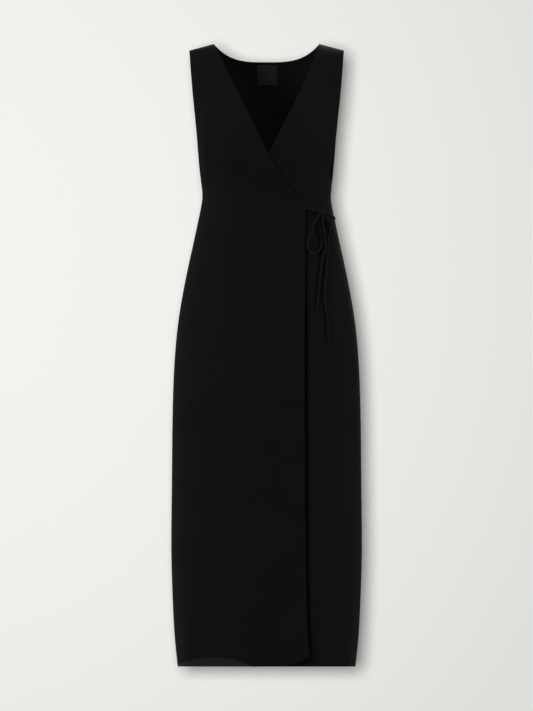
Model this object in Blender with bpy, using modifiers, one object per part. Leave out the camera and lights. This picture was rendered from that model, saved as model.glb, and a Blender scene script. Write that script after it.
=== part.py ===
"""A sleeveless wrap dress in thin black crepe, filled out as it is worn and tied in a bow at the side.

Metres, +Z up. The origin is midway between the shoulder seams, at the height of the high shoulder points,
where the wearer's shoulders carry the dress. +X is the wearer's left and -Y is the front.

A place on the cloth is given by its side (FRONT or BACK), by its drop below the shoulder line and by an angle
round the figure: 0 on the centre line, positive towards the wearer's left, 90 degrees on the side seam.
Tables are in millimetres and degrees.
"""
from collections import namedtuple
from math import acos, asin, copysign, cos, exp, pi, radians, sin

import bmesh
import bpy
import numpy
from mathutils import Vector

MM = 0.001

# ---- driving dimensions -------------------------------------------------------------------------------------
HEM_DROP = 1367 * MM          # high shoulder point to hem
CLOTH = 1.4 * MM              # crepe with its turnings, as one wall
SEAM_GAP = 0.6 * MM           # between the outer faces at a side seam; every seam's gap is narrower inside
SHOULDER_GAP = 1.0 * MM       # between the outer faces at a shoulder seam
NECK_HALF = 116 * MM          # centre line to the high shoulder point
TIP_HALF = 169.5 * MM         # centre line to the shoulder tip
BACK_NECK_DROP = 40.5 * MM
NECK_SQUARE = 3.4             # power of the back neck's curve: the more, the squarer its corners
TIP_DROP = 14.4 * MM          # how far the shoulder seam falls to the shoulder tip
SHOULDER_ROLL = 36 * MM       # drop over which the cloth turns from the shoulder top to the chest
SLOPE_FADE = 200 * MM         # drop at which the rows no longer follow the shoulder slope
UNDERARM_DROP = 315 * MM      # top of the side seam
CORNER_DROP = 357.5 * MM      # the wrap's corner, where its tie is sewn on
SQUARE = 2.3                  # 2 gives elliptical sections, more gives squarer ones

BUST = {"x": 78 * MM, "drop": 205 * MM, "width": 44 * MM, "height": 62 * MM, "fullness": 9 * MM}

LAYER = 2.6 * MM              # how far the wrap lies outside the front under it
LAYER_RAMP = 45 * MM          # width over which it climbs there
FREE_EDGE_WIDTH = 80 * MM     # the strip along the wrap's free edge that stands away

TIE = 4.4 * MM                # diameter of the rouleau ties
TIE_STEP = 2.3 * TIE          # spacing of the points along a tie
SPAN_STEPS = 16               # steps in which the curve between two of a tie's own points is measured
SEARCH_STEPS = 12             # steps of the search for the foot of a place that stands out from the cloth
KNOT = {"x": 120.6 * MM, "drop": 369.6 * MM, "lift": 7.8 * MM, "radius": 6.8 * MM}
TOUCH_GAP = 0.35 * MM         # between a tie's flat end and what it meets

LABEL = {"left": -20.2 * MM, "right": 22.7 * MM, "top": 46 * MM, "bottom": 90 * MM, "thick": 1.0 * MM,
         "gap": 0.7 * MM, "hang": 1.5 * MM, "columns": 4, "rows": 5}

FRONT = -1
BACK = 1

# ---- the garment's form: one row for each level -------------------------------------------------------------
# half is the half width of the whole section, front and back are its depths on the centre line.
Level = namedtuple("Level", "drop half front back")
LEVELS = (
    Level(0, 190, 52, 50),
    Level(57, 184, 76, 73),
    Level(123, 176.5, 103, 93),
    Level(167, 170, 116, 100),
    Level(211, 163, 122, 101),
    Level(255, 155, 120, 98.5),
    Level(293, 147, 114, 94.5),
    Level(315, 142.4, 110, 92),
    Level(336, 141.1, 107.5, 90.5),
    Level(357, 143.8, 107, 90.5),
    Level(387, 149.9, 107.5, 92),
    Level(431, 159.3, 109.5, 97),
    Level(475, 169.1, 112, 103),
    Level(541, 182.6, 116, 111),
    Level(607, 193.6, 119, 116),
    Level(695, 202.1, 121, 119),
    Level(827, 206.8, 122, 119),
    Level(1003, 208.6, 122, 118),
    Level(1113, 209.4, 122, 117),
    Level(1223, 206.2, 120, 116),
    Level(1311, 201.1, 118, 114),
    Level(1367, 195.1, 116, 112),
)

# The armholes' edges, down to the underarm: their x, and how far the under front's edge lies inside it.
Armhole = namedtuple("Armhole", "drop x inset")
ARMHOLE = (
    Armhole(14.4, 169.5, 0),
    Armhole(57, 166.7, 0),
    Armhole(123, 161.2, 0),
    Armhole(167, 156.5, 0.5),
    Armhole(211, 152.2, 2),
    Armhole(255, 148.7, 3.5),
    Armhole(293, 145.1, 3),
    Armhole(315, 142.4, 0),
)

# Each front's inner edge: its V neck edge down to the corner, then its free edge down to the hem.
Edge = namedtuple("Edge", "drop x")
WRAP_NECK = (Edge(0, -116), Edge(97, -68.6), Edge(167, -33.4), Edge(229, -2.6), Edge(282, 29.6),
             Edge(321, 55.6), Edge(357.5, 83.2))
WRAP_FREE = (Edge(357.5, 83.2), Edge(700, 84), Edge(1090, 84.4), Edge(1250, 87.5), Edge(1330, 91), Edge(1367, 94))
UNDER_NECK = (Edge(0, 116), Edge(97, 76.6), Edge(150, 50.2), Edge(202, 23.8), Edge(242, 4.5),
              Edge(285, -24), Edge(357.5, -83))
UNDER_FREE = (Edge(357.5, -83), Edge(700, -76), Edge(1100, -54), Edge(1367, -30))

# How far the wrap's free edge stands away from the front under it, beyond LAYER.
Stand = namedtuple("Stand", "drop off")
FREE_EDGE = (Stand(357.5, 0), Stand(400, 2), Stand(480, 3.5), Stand(700, 5), Stand(1100, 6), Stand(1290, 7.5),
             Stand(1367, 9))

# The wrap's hem lifts in a low arc on the wearer's right, and up to its corner on the left.
HEM_BAND = 150 * MM           # height of the band that the lifts bend
ARC = {"x": -113.7 * MM, "half": 79 * MM, "rise": 17.5 * MM, "out": 4 * MM, "round": 0.7}
CORNER = {"start": 28 * MM, "end": 96 * MM, "rise": 20.5 * MM, "bend": 1.6}

# Soft folds of the skirt: where they hang, how wide, where they start and how far out they stand at the hem.
Fold = namedtuple("Fold", "side angle width start out")
FOLDS = (
    Fold(FRONT, -58, 9, 640, 4.0),
    Fold(FRONT, -36, 8, 760, -3.0),
    Fold(FRONT, -4, 10, 820, 2.5),
    Fold(FRONT, 44, 7, 700, -2.5),
    Fold(FRONT, 62, 8, 620, 4.0),
    Fold(BACK, -60, 9, 640, 4.0),
    Fold(BACK, -34, 8, 720, -3.5),
    Fold(BACK, -8, 9, 660, 4.5),
    Fold(BACK, 16, 8, 780, -3.0),
    Fold(BACK, 40, 9, 690, 4.0),
    Fold(BACK, 63, 8, 740, -2.5),
)

# Rows of cloth from the shoulder seam to the hem: each band ends at a drop and has so many rows.
Band = namedtuple("Band", "end rows")
ROLL_ROWS = 6
BANDS = (Band(242, 7), Band(290, 2), Band(304, 1), Band(311.5, 1), Band(315, 1), Band(357.5, 3), Band(695, 9),
         Band(1223, 7), Band(1367, 5))
WRAP_COLUMNS = 18
UNDER_COLUMNS = 16
BACK_NECK_COLUMNS = 12
SHOULDER_COLUMNS = 6

# ---- the ties: each stretch is a route over the cloth, through places chosen by hand ---------------------------
# x and drop are where the middle of the tie shows from the front, lift is its height above the cloth.
# turn is the direction in which it leaves the knot, 0 straight down and positive towards the wearer's left,
# and tilt is how far that direction leans out from the cloth.
Place = namedtuple("Place", "x drop lift")
Exit = namedtuple("Exit", "turn tilt")
TIES = {
    "tie_wrap_lead": (
        Place(84.9, 360.0, 2.7), Place(94.0, 362.2, 3.2), Place(103.5, 365.3, 5.2), Exit(-102, 0)),
    "tie_wrap_loop": (
        Exit(-65, 24), Place(107.4, 384, 9.4), Place(104.2, 398, 8.8), Place(100.9, 410, 8.4),
        Place(95.6, 422, 8.0), Place(91.2, 433, 7.4), Place(90.4, 446, 6.6), Place(96.5, 457.5, 5.2),
        Place(107.5, 460, 3.8), Place(117.0, 452, 2.9), Place(121.6, 437, 3.2), Place(120.8, 422, 4.4),
        Place(116.8, 408, 5.6), Place(114.2, 393, 6.4), Exit(-38, -14)),
    "tie_wrap_tail": (
        Exit(2, 26), Place(121.9, 392, 11.0), Place(125.6, 409, 10.6), Place(128.9, 427, 9.2),
        Place(129.7, 444, 7.6), Place(125.8, 462, 5.4), Place(121.9, 482, 3.6), Place(119.2, 502, 2.8),
        Place(116.2, 524, 2.8), Place(114.4, 545, 2.8), Place(112.9, 565, 2.8), Place(109.4, 582.3, 2.8)),
    "tie_side_lead": (
        Exit(98, 0), Place(134.6, 373.4, 5.2), Place(142.6, 377.0, 3.4), Place(147.8, 380.0, 2.8),
        Place(150.8, 382.6, 2.8), Place(152.2, 385, 2.7)),
    "tie_side_loop": (
        Exit(48, 26), Place(138.0, 391, 10.5), Place(144.6, 407, 12.0), Place(149.2, 422, 13.0),
        Place(149.8, 435, 12.0), Place(145.4, 445, 9.0), Place(139.4, 444, 5.0), Place(135.6, 434, 2.8),
        Place(134.6, 424, 2.8), Place(135.6, 412, 2.8), Place(137.0, 400, 2.8), Place(135.0, 388, 3.2),
        Exit(52, -14)),
    "tie_side_tail": (
        Exit(2, -14), Place(123.4, 392, 3.0), Place(126.6, 406, 4.6), Place(132.4, 420, 7.4),
        Place(134.6, 432, 7.8), Place(134.8, 446, 7.6), Place(133.6, 460, 5.6), Place(131.8, 477, 3.6),
        Place(130.7, 501.5, 2.8), Place(128.5, 528, 2.8), Place(127.4, 550, 2.8), Place(129.1, 574, 2.8),
        Place(132.7, 600.5, 2.8), Place(135.1, 631, 2.8), Place(136.8, 663.3, 2.8)),
}


# ---- curves and sections --------------------------------------------------------------------------------------
class Curve:
    """A smooth curve through a table's values: a natural cubic spline over its drops."""

    def __init__(self, table, column):
        self.keys = numpy.array([row.drop for row in table]) * MM
        self.values = numpy.array([getattr(row, column) for row in table]) * MM
        steps = numpy.diff(self.keys)
        slopes = numpy.diff(self.values) / steps
        system = numpy.eye(len(self.keys))
        known = numpy.zeros(len(self.keys))
        for i in range(1, len(self.keys) - 1):
            system[i, i - 1:i + 2] = steps[i - 1], 2 * (steps[i - 1] + steps[i]), steps[i]
            known[i] = 6 * (slopes[i] - slopes[i - 1])
        self.bends = numpy.linalg.solve(system, known)

    def __call__(self, drop):
        drop = min(max(drop, self.keys[0]), self.keys[-1])
        i = min(int(numpy.searchsorted(self.keys, drop, side="right")) - 1, len(self.keys) - 2)
        step = self.keys[i + 1] - self.keys[i]
        before = (drop - self.keys[i]) / step
        after = 1 - before
        bend = (after ** 3 - after) * self.bends[i] + (before ** 3 - before) * self.bends[i + 1]
        return float(after * self.values[i] + before * self.values[i + 1] + bend * step ** 2 / 6)


half_width = Curve(LEVELS, "half")
armhole_x = Curve(ARMHOLE, "x")
armhole_inset = Curve(ARMHOLE, "inset")
centre_depth = {FRONT: Curve(LEVELS, "front"), BACK: Curve(LEVELS, "back")}
wrap_neck = Curve(WRAP_NECK, "x")
wrap_free = Curve(WRAP_FREE, "x")
under_neck = Curve(UNDER_NECK, "x")
under_free = Curve(UNDER_FREE, "x")
free_edge_stand = Curve(FREE_EDGE, "off")


def ease(share):
    """0 below 0, 1 above 1 and a smooth step between."""
    share = min(max(share, 0.0), 1.0)
    return share * share * (3 - 2 * share)


def signed_power(value, power):
    return copysign(abs(value) ** power, value)


def wrap_edge(drop):
    return wrap_neck(drop) if drop < CORNER_DROP else wrap_free(drop)


def under_edge(drop):
    return under_neck(drop) if drop < CORNER_DROP else under_free(drop)


def shoulder_slope(x, drop):
    """How far a row has fallen at x to follow the shoulder seam."""
    share = min(max((abs(x) - NECK_HALF) / (TIP_HALF - NECK_HALF), 0.0), 1.0)
    return TIP_DROP * share * (1 - ease(drop / SLOPE_FADE))


def section(side, drop):
    """A level's half width and its depth on the centre line, which is nothing on the shoulder line."""
    turn = min(drop / SHOULDER_ROLL, 1.0)
    return half_width(drop), centre_depth[side](drop) * (1 - (1 - turn) ** 2) ** 0.5


def side_angle(drop, inset=0.0):
    """The angle at which the cloth ends: at the armhole's edge, or below it on the side seam."""
    if drop >= UNDERARM_DROP:
        return pi / 2
    edge_drop = drop + TIP_DROP * (1 - ease(drop / SLOPE_FADE))
    x = armhole_x(edge_drop) - inset * armhole_inset(edge_drop)
    return angle_at(FRONT, x, drop)


def angle_at(side, x, drop):
    """The angle at which a level's section has this x."""
    half = section(side, drop)[0]
    return asin(copysign(min(abs(x) / half, 1.0) ** (SQUARE / 2), x))


def fold_out(side, angle, drop):
    """How far the skirt's folds stand out here."""
    out = 0.0
    for fold in FOLDS:
        if fold.side == side:
            across = (angle - radians(fold.angle)) / radians(fold.width)
            down = ease((drop - fold.start * MM) / (HEM_DROP - fold.start * MM))
            out += fold.out * MM * exp(-across ** 2) * down
    return out


def cloth(side, angle, drop, out=0.0):
    """A point of the outer face and the level normal there, moved out by a distance along that normal."""
    half, depth = section(side, drop)
    across = signed_power(sin(angle), 2 / SQUARE)
    forward = max(cos(angle), 0.0) ** (2 / SQUARE)
    normal = Vector((signed_power(across, SQUARE - 1) * depth, side * forward ** (SQUARE - 1) * half, 0))
    if normal.length == 0:
        normal = Vector((0, side, 0))
    normal.normalize()
    x = half * across
    if side == FRONT:
        beside = (abs(x) - BUST["x"]) / BUST["width"]
        below = (drop - BUST["drop"]) / BUST["height"]
        out += BUST["fullness"] * exp(-beside ** 2 - below ** 2)
    out += fold_out(side, angle, drop)
    gap = SHOULDER_GAP + (SEAM_GAP - SHOULDER_GAP) * ease(drop / SHOULDER_ROLL)
    point = Vector((x, side * (gap / 2 + depth * forward), -drop - shoulder_slope(x, drop)))
    return point + out * normal, normal


# ---- the four panels ------------------------------------------------------------------------------------------
def row_drops():
    """The drop of each row of cloth, from the shoulder seam to the hem."""
    drops = [SHOULDER_ROLL * (1 - cos(i / ROLL_ROWS * pi / 2)) for i in range(ROLL_ROWS + 1)]
    for band in BANDS:
        start = drops[-1]
        drops += [start + (band.end * MM - start) * (i + 1) / band.rows for i in range(band.rows)]
    return drops


ROWS = row_drops()


def wrap_point(across, row):
    """The wrap: from the wearer's right side seam (across 0) to its free edge (across 1)."""
    drop = ROWS[row]
    edge = wrap_edge(drop)
    start = -side_angle(drop)
    angle = start + (angle_at(FRONT, edge, drop) - start) * across
    x = cloth(FRONT, angle, drop)[0].x
    near_edge = ease((x - edge + FREE_EDGE_WIDTH) / FREE_EDGE_WIDTH)
    stand = free_edge_stand(drop) if drop > CORNER_DROP else 0.0
    arc = max(0.0, 1 - ((x - ARC["x"]) / ARC["half"]) ** 2) ** ARC["round"]
    low = ease((drop - HEM_DROP + HEM_BAND) / HEM_BAND)
    out = LAYER * ease((x - under_edge(drop) + LAYER_RAMP) / LAYER_RAMP) + stand * near_edge ** 1.5
    out += ARC["out"] * arc * low
    point = cloth(FRONT, angle, drop, out)[0]
    corner = min(max((x - CORNER["start"]) / (CORNER["end"] - CORNER["start"]), 0.0), 1.0) ** CORNER["bend"]
    point.z += (ARC["rise"] * arc + CORNER["rise"] * corner) * low
    return point


def under_point(across, row):
    """The front under it: from its free edge (across 0) to the wearer's left side seam (across 1)."""
    drop = ROWS[row]
    start = angle_at(FRONT, under_edge(drop), drop)
    angle = start + (side_angle(drop, 1) - start) * across
    return cloth(FRONT, angle, drop)[0]


def back_top(column):
    """A column's top point, in x and drop: on the back neck curve or on a shoulder seam."""
    beyond = abs(column) - BACK_NECK_COLUMNS / 2
    if beyond <= 0:
        share = sin(column / BACK_NECK_COLUMNS * pi)
        return NECK_HALF * share, BACK_NECK_DROP * (1 - abs(share) ** NECK_SQUARE)
    return copysign(NECK_HALF + (TIP_HALF - NECK_HALF) * beyond / SHOULDER_COLUMNS, column), 0.0


def back_point(across, row):
    """The back: from the wearer's left side seam (across 0) to the right one (across 1)."""
    columns = BACK_NECK_COLUMNS + 2 * SHOULDER_COLUMNS
    column = round((0.5 - across) * columns)
    x, top = back_top(column)
    top_share = angle_at(BACK, x, top) / side_angle(top)
    drop = ROWS[row] + top * max(0.0, 1 - ROWS[row] / SLOPE_FADE)
    even_share = column / columns * 2
    share = top_share + (even_share - top_share) * ease(ROWS[row] / UNDERARM_DROP)
    return cloth(BACK, share * side_angle(drop), drop)[0]


def label_point(across, up):
    """The label's sewn side: on the inside of the back, just below the neck."""
    x = LABEL["left"] + (LABEL["right"] - LABEL["left"]) * across
    drop = LABEL["bottom"] + (LABEL["top"] - LABEL["bottom"]) * up
    inside = CLOTH + LABEL["gap"] + LABEL["hang"] * (1 - up)
    return cloth(BACK, angle_at(BACK, x, drop), drop, -inside)[0]


# ---- making the objects ---------------------------------------------------------------------------------------
def new_collection(name):
    collection = bpy.data.collections.new(name)
    bpy.context.scene.collection.children.link(collection)
    return collection


def new_material(name, colour, roughness):
    material = bpy.data.materials.new(name)
    material.use_nodes = True
    shader = material.node_tree.nodes["Principled BSDF"]
    shader.inputs["Base Color"].default_value = (*colour, 1)
    shader.inputs["Roughness"].default_value = roughness
    shader.inputs["Metallic"].default_value = 0
    material.diffuse_color = (*colour, 1)
    return material


def add_object(name, data, material, collection):
    data.materials.append(material)
    thing = bpy.data.objects.new(name, data)
    collection.objects.link(thing)
    return thing


def add_sheet(name, columns, rows, place, thickness, offset, material, collection):
    """A flat grid laid out on the form by a rule, then given its wall with Solidify."""
    mesh = bpy.data.meshes.new(name)
    grid = bmesh.new()
    bmesh.ops.create_grid(grid, x_segments=columns, y_segments=rows, size=0.5)
    for corner in grid.verts:
        corner.co = place(corner.co.x + 0.5, corner.co.y + 0.5)
    grid.to_mesh(mesh)
    grid.free()
    mesh.shade_smooth()
    thing = add_object(name, mesh, material, collection)
    wall = thing.modifiers.new("wall", "SOLIDIFY")
    wall.thickness = thickness
    wall.offset = offset
    return thing


def add_panel(name, columns, place, material, collection):
    last = len(ROWS) - 1

    def on_row(across, up):
        return place(across, last - round(up * last))

    return add_sheet(name, columns, last, on_row, CLOTH, -1, material, collection)


def on_cloth(x, drop, lift):
    """The point that stands a lift above the front's cloth and shows at x from the front, and its normal."""
    foot = x
    for _ in range(SEARCH_STEPS):
        point, normal = cloth(FRONT, angle_at(FRONT, foot, drop), drop, lift)
        foot += (x - point.x) / 2
    return point, normal


def tie_ends(stop, centre, normal):
    """The two points at which a stretch of tie leaves the knot, squarely to the knot's surface."""
    up = Vector((0, 0, 1))
    left = up.cross(normal)
    turn = radians(stop.turn)
    tilt = radians(stop.tilt)
    way = cos(tilt) * (sin(turn) * left - cos(turn) * up) + sin(tilt) * normal
    start = KNOT["radius"] + TOUCH_GAP
    return [centre + way * start, centre + way * (start + TIE)]


def tie_route(stops, centre, normal):
    """A tie's own points: those at the knot, then the places on the cloth."""
    route = []
    for i, stop in enumerate(stops):
        if isinstance(stop, Exit):
            ends = tie_ends(stop, centre, normal)
            route += ends if i == 0 else ends[::-1]
        else:
            route.append(on_cloth(stop.x * MM, stop.drop * MM, stop.lift * MM)[0])
    return route


def even_points(line, step):
    """Points at even steps along a line of close points."""
    lengths = [0.0]
    for here, there in zip(line, line[1:]):
        lengths.append(lengths[-1] + (there - here).length)
    count = max(1, round(lengths[-1] / step))
    points = []
    for i in range(count + 1):
        reach = lengths[-1] * i / count
        k = min(max(1, int(numpy.searchsorted(lengths, reach))), len(line) - 1)
        share = (reach - lengths[k - 1]) / (lengths[k] - lengths[k - 1])
        points.append(line[k - 1].lerp(line[k], share))
    return points


def smooth_route(route, step):
    """Even points along the smooth curve (Catmull-Rom) through a route, between its straight end pieces."""
    padded = [route[0] * 2 - route[1], *route, route[-1] * 2 - route[-2]]
    line = []
    for a, b, c, d in zip(padded, padded[1:], padded[2:], padded[3:]):
        for i in range(SPAN_STEPS):
            t = i / SPAN_STEPS
            line.append(0.5 * (2 * b + (c - a) * t + (2 * a - 5 * b + 4 * c - d) * t ** 2
                               + (3 * b - a - 3 * c + d) * t ** 3))
    return [route[0], *even_points(line[SPAN_STEPS:1 - SPAN_STEPS], step), route[-1]]


def add_tie(name, points, material, collection):
    curve = bpy.data.curves.new(name, "CURVE")
    curve.dimensions = "3D"
    curve.bevel_depth = TIE / 2
    curve.bevel_resolution = 2
    curve.use_fill_caps = True
    spline = curve.splines.new("POLY")
    spline.points.add(len(points) - 1)
    for slot, point in zip(spline.points, points):
        slot.co = (*point, 1)
    return add_object(name, curve, material, collection)


def add_knot(name, centre, material, collection):
    mesh = bpy.data.meshes.new(name)
    ball = bmesh.new()
    bmesh.ops.create_uvsphere(ball, u_segments=14, v_segments=9, radius=KNOT["radius"])
    bmesh.ops.translate(ball, vec=centre, verts=ball.verts)
    ball.to_mesh(mesh)
    ball.free()
    mesh.shade_smooth()
    return add_object(name, mesh, material, collection)


def build():
    for thing in list(bpy.data.objects):
        bpy.data.objects.remove(thing)
    dress = new_collection("wrap_dress")
    crepe = new_material("crepe", (0.012, 0.012, 0.013), 0.8)
    tie_crepe = new_material("tie_crepe", (0.014, 0.014, 0.015), 0.75)
    satin = new_material("label_satin", (0.02, 0.02, 0.021), 0.45)

    add_panel("front_wrap", WRAP_COLUMNS, wrap_point, crepe, dress)
    add_panel("front_under", UNDER_COLUMNS, under_point, crepe, dress)
    add_panel("back", BACK_NECK_COLUMNS + 2 * SHOULDER_COLUMNS, back_point, crepe, dress)
    add_sheet("neck_label", LABEL["columns"], LABEL["rows"], label_point, LABEL["thick"], 1, satin, dress)

    centre, normal = on_cloth(KNOT["x"], KNOT["drop"], KNOT["lift"])
    add_knot("tie_knot", centre, tie_crepe, dress)
    for name, stops in TIES.items():
        route = tie_route(stops, centre, normal)
        add_tie(name, smooth_route(route, TIE_STEP), tie_crepe, dress)


build()
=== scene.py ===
# %% [markdown]
# # A sleeveless wrap dress in thin black crepe
#
# The dress has three large panels: a back, a right front that laps over, and a left front that
# lies under it. Two rouleau ties, narrow tubes of the same cloth, hold the wrap in a bow at the
# left side of the waist. Nobody wears it, but it is filled out as if somebody did. This lesson
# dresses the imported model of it: each step says what the piece is on a real dress, how it could be
# made, and why it is made in this way. All sizes are in metres, +Z is up, -Y is the wearer's front
# and +X the wearer's left.

from collections import namedtuple
from math import cos, pi, radians, sin
from types import SimpleNamespace as Sizes

import bpy
import numpy as np
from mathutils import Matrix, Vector


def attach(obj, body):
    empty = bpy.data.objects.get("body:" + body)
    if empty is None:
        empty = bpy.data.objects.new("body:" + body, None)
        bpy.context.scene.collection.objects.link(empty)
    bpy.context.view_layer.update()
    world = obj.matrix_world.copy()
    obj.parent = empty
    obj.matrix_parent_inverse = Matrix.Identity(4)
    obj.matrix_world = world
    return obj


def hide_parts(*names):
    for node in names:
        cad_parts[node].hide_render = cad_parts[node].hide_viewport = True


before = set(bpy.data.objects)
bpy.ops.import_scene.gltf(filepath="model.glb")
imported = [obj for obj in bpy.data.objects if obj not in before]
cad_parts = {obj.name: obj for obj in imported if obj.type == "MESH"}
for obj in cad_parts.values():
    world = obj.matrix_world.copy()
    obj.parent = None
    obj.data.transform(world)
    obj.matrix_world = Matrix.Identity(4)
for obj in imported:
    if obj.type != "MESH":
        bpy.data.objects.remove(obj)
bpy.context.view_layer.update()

# %% [markdown]
# ## The camera
#
# The hem looks dead straight although the skirt is a wide tube, so the dress is seen level and
# from so far away that nothing grows smaller with distance. An orthographic camera shows it in
# this way.

# %% Place the camera
MM = 0.001
VIEW = Sizes(height=1561.6 * MM, x=-0.2 * MM, z=-684.3 * MM, distance=5.0)

camera_data = bpy.data.cameras.new("camera")
camera_data.type = "ORTHO"
camera_data.ortho_scale = VIEW.height
camera = bpy.data.objects.new("camera", camera_data)
camera.location = (VIEW.x, -VIEW.distance, VIEW.z)
camera.rotation_euler = (pi / 2, 0, 0)
bpy.context.collection.objects.link(camera)
bpy.context.scene.camera = camera
print(f"the view is {VIEW.height:.3f} m high")

# %% [markdown]
# ## The form of the dress
#
# Cloth on a figure is easiest to describe level by level: how wide the section is, and how deep it
# is in front and behind. A place on the cloth is then a side, an angle round the figure and a drop
# below the shoulder line. The levels are a short table, and a smooth curve runs through each of
# its columns. The dress's tables are in millimetres.


# %% The levels
def table(columns, rows):
    """Rows of numbers with named columns."""
    row = namedtuple("Row", columns)
    return [row(*numbers) for numbers in rows]


LEVELS = table("drop half front back", (
    (0, 190, 52, 50), (57, 184, 76, 73), (123, 176.5, 103, 93), (167, 170, 116, 100),
    (211, 163, 122, 101), (255, 155, 120, 98.5), (293, 147, 114, 94.5), (315, 142.4, 110, 92),
    (336, 141.1, 107.5, 90.5), (357, 143.8, 107, 90.5), (387, 149.9, 107.5, 92),
    (431, 159.3, 109.5, 97), (475, 169.1, 112, 103), (541, 182.6, 116, 111),
    (607, 193.6, 119, 116), (695, 202.1, 121, 119), (827, 206.8, 122, 119),
    (1003, 208.6, 122, 118), (1113, 209.4, 122, 117), (1223, 206.2, 120, 116),
    (1311, 201.1, 118, 114), (1367, 195.1, 116, 112),
))
waist = min(LEVELS, key=lambda level: level.half)
print(f"waist {2 * waist.half} mm wide at a drop of {waist.drop} mm")

# %% [markdown]
# A maker draws a seam through its marks with a thin batten, which bends evenly from one to the
# next. A natural cubic spline is the same curve in numbers, so it joins the rows of every table.


# %% A smooth curve through a table
class Curve:
    """A natural cubic spline through one column of a table, for one drop or an array of them."""

    def __init__(self, rows, column):
        self.keys = np.array([row.drop for row in rows]) * MM
        self.values = np.array([getattr(row, column) for row in rows]) * MM
        steps = np.diff(self.keys)
        slopes = np.diff(self.values) / steps
        system = np.eye(len(self.keys))
        known = np.zeros(len(self.keys))
        for i in range(1, len(self.keys) - 1):
            system[i, i - 1:i + 2] = steps[i - 1], 2 * (steps[i - 1] + steps[i]), steps[i]
            known[i] = 6 * (slopes[i] - slopes[i - 1])
        self.bends = np.linalg.solve(system, known)

    def __call__(self, drop):
        drop = np.clip(drop, self.keys[0], self.keys[-1])
        i = np.clip(np.searchsorted(self.keys, drop, side="right") - 1, 0, len(self.keys) - 2)
        step = self.keys[i + 1] - self.keys[i]
        before = (drop - self.keys[i]) / step
        after = 1 - before
        bend = (after ** 3 - after) * self.bends[i] + (before ** 3 - before) * self.bends[i + 1]
        return after * self.values[i] + before * self.values[i + 1] + bend * step ** 2 / 6


FRONT = -1
BACK = 1
half_width = Curve(LEVELS, "half")
centre_depth = {FRONT: Curve(LEVELS, "front"), BACK: Curve(LEVELS, "back")}
print(f"half a metre down the dress is {2 * half_width(0.5):.3f} m wide")

# %% [markdown]
# ## The edges
#
# The armholes, the two V neck edges and the two free edges are where panels end. Each is a table
# of drops and of x as seen from the front, so the edge stays true from there however deep the
# cloth stands. A neck edge and a free edge meet at the corner, where the tie is sewn on.

# %% The edges' tables
CORNER_DROP = 357.5 * MM
ARMHOLE = table("drop x inset", (
    (14.4, 169.5, 0), (57, 166.7, 0), (123, 161.2, 0), (167, 156.5, 0.5), (211, 152.2, 2),
    (255, 148.7, 3.5), (293, 145.1, 3), (315, 142.4, 0),
))
WRAP_NECK = table("drop x", (
    (0, -116), (97, -68.6), (167, -33.4), (229, -2.6), (282, 29.6), (321, 55.6), (357.5, 83.2),
))
WRAP_FREE = table("drop x", (
    (357.5, 83.2), (500, 82.4), (700, 81.6), (920, 82.2), (1090, 83.6), (1190, 85), (1290, 87),
    (1330, 88.4), (1367, 90.4),
))
UNDER_NECK = table("drop x", (
    (0, 116), (97, 76.6), (150, 50.2), (202, 23.8), (242, 4.5), (285, -24), (357.5, -83),
))
UNDER_FREE = table("drop x", (
    (357.5, -83), (700, -76), (1100, -54), (1367, -30),
))

armhole_x = Curve(ARMHOLE, "x")
armhole_inset = Curve(ARMHOLE, "inset")


def joined(neck_table, free_table):
    """A panel's neck edge and its free edge in one, as x at each drop. They meet at the corner."""
    neck, free = Curve(neck_table, "x"), Curve(free_table, "x")
    return lambda drop: np.where(drop < CORNER_DROP, neck(drop), free(drop))


wrap_edge = joined(WRAP_NECK, WRAP_FREE)
under_edge = joined(UNDER_NECK, UNDER_FREE)
print(f"the wrap's corner is {wrap_edge(CORNER_DROP):.4f} m to the left of the middle")

# %% [markdown]
# ## Soft folds and creases
#
# Crepe hangs in long soft folds from the hips, and creases where it is pulled: beside the
# armholes, under the bust, and from the corner where the tie pulls the wrap round. Each is listed
# with its own place, width and depth. A cloth simulation would move the edges away from
# where they belong, so it isn't used.

# %% The folds' and creases' tables
# A fold's angle round the figure and its width are in degrees, and it starts at a drop.
FOLDS = table("side angle width start out", (
    (FRONT, -58, 9, 640, 4.0),
    (FRONT, -36, 8, 760, -3.0),
    (FRONT, -4, 10, 820, 2.5),
    (FRONT, 44, 7, 700, -2.5),
    (FRONT, 62, 8, 620, 4.0),
    (BACK, -60, 9, 640, 4.0),
    (BACK, -34, 8, 720, -3.5),
    (BACK, -8, 9, 660, 4.5),
    (BACK, 16, 8, 780, -3.0),
    (BACK, 40, 9, 690, 4.0),
    (BACK, 63, 8, 740, -2.5),
))

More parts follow.
